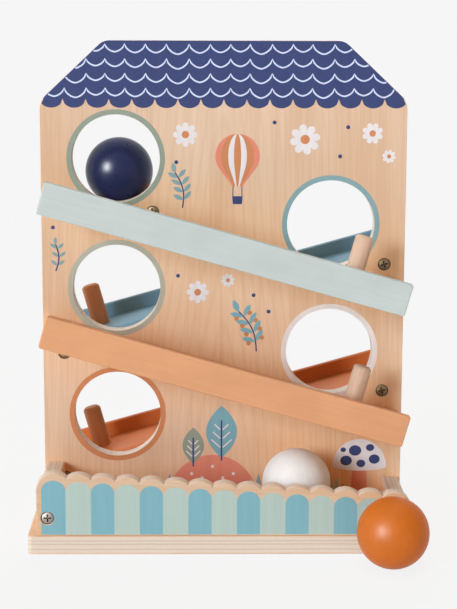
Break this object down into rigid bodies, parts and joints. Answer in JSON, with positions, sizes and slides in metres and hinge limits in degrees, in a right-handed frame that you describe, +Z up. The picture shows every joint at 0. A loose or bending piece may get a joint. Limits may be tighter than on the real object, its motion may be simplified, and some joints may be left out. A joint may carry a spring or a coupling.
{
  "type": "wooden ball run",
  "caption": "House-shaped wooden ball run: a panel with round holes on a base board, sloped ramps on both faces with stop pegs, a start ledge, a scalloped tray and loose wooden balls.",
  "frame": {"origin": "middle of the base board's underside", "axes": "+Z up, front towards -Y, X to the right as seen from the front"},
  "size_m": [0.2515, 0.2035, 0.3215],
  "materials": {
    "plywood": "clear satin lacquer over pale veneer, ply lines on the edges",
    "peg_wood": "bare smooth dowel",
    "aqua_paint": "satin paint",
    "teal_paint": "satin paint",
    "apricot_paint": "satin paint",
    "rust_paint": "satin paint",
    "bronze_screw": "dull bronze plating",
    "steel_screw": "bright zinc plating",
    "navy_lacquer": "gloss lacquer",
    "white_lacquer": "gloss lacquer",
    "orange_lacquer": "gloss lacquer"
  },
  "bodies": {
    "ball_run": {"back_panel": "plywood", "base_board": "plywood", "front_fence": "plywood", "left_side_wall": "plywood", "right_side_wall": "plywood", "upper_front_floor": "aqua_paint", "upper_front_rail": "aqua_paint", "upper_front_peg": "peg_wood", "upper_back_floor": "teal_paint", "upper_back_rail": "teal_paint", "upper_back_peg": "peg_wood", "lower_front_floor": "apricot_paint", "lower_front_rail": "apricot_paint", "lower_front_peg": "peg_wood", "lower_back_floor": "rust_paint", "lower_back_rail": "rust_paint", "lower_back_peg": "peg_wood", "start_ledge": "plywood", "front_ramp_screws": "bronze_screw", "back_ramp_screws": "bronze_screw", "ledge_screws": "bronze_screw", "fence_screws": "steel_screw", "panel_base_screws": "steel_screw", "tray_base_screws": "steel_screw"},
    "navy_ball": {"navy_ball": "navy_lacquer"},
    "white_ball": {"white_ball": "white_lacquer"},
    "orange_ball": {"orange_ball": "orange_lacquer"}
  },
  "joints": [
    {"name": "navy_ball_off_ledge", "type": "slide", "parent": "ball_run", "child": "navy_ball", "axis": [0, 1, 0], "range_m": [0, 0.08]},
    {"name": "white_ball_in_tray", "type": "slide", "parent": "ball_run", "child": "white_ball", "axis": [1, 0, 0], "range_m": [-0.131, 0.035]},
    {"name": "orange_ball_on_table", "type": "slide", "parent": "ball_run", "child": "orange_ball", "axis": [0, -1, 0], "range_m": [0, 0.2]}
  ]
}
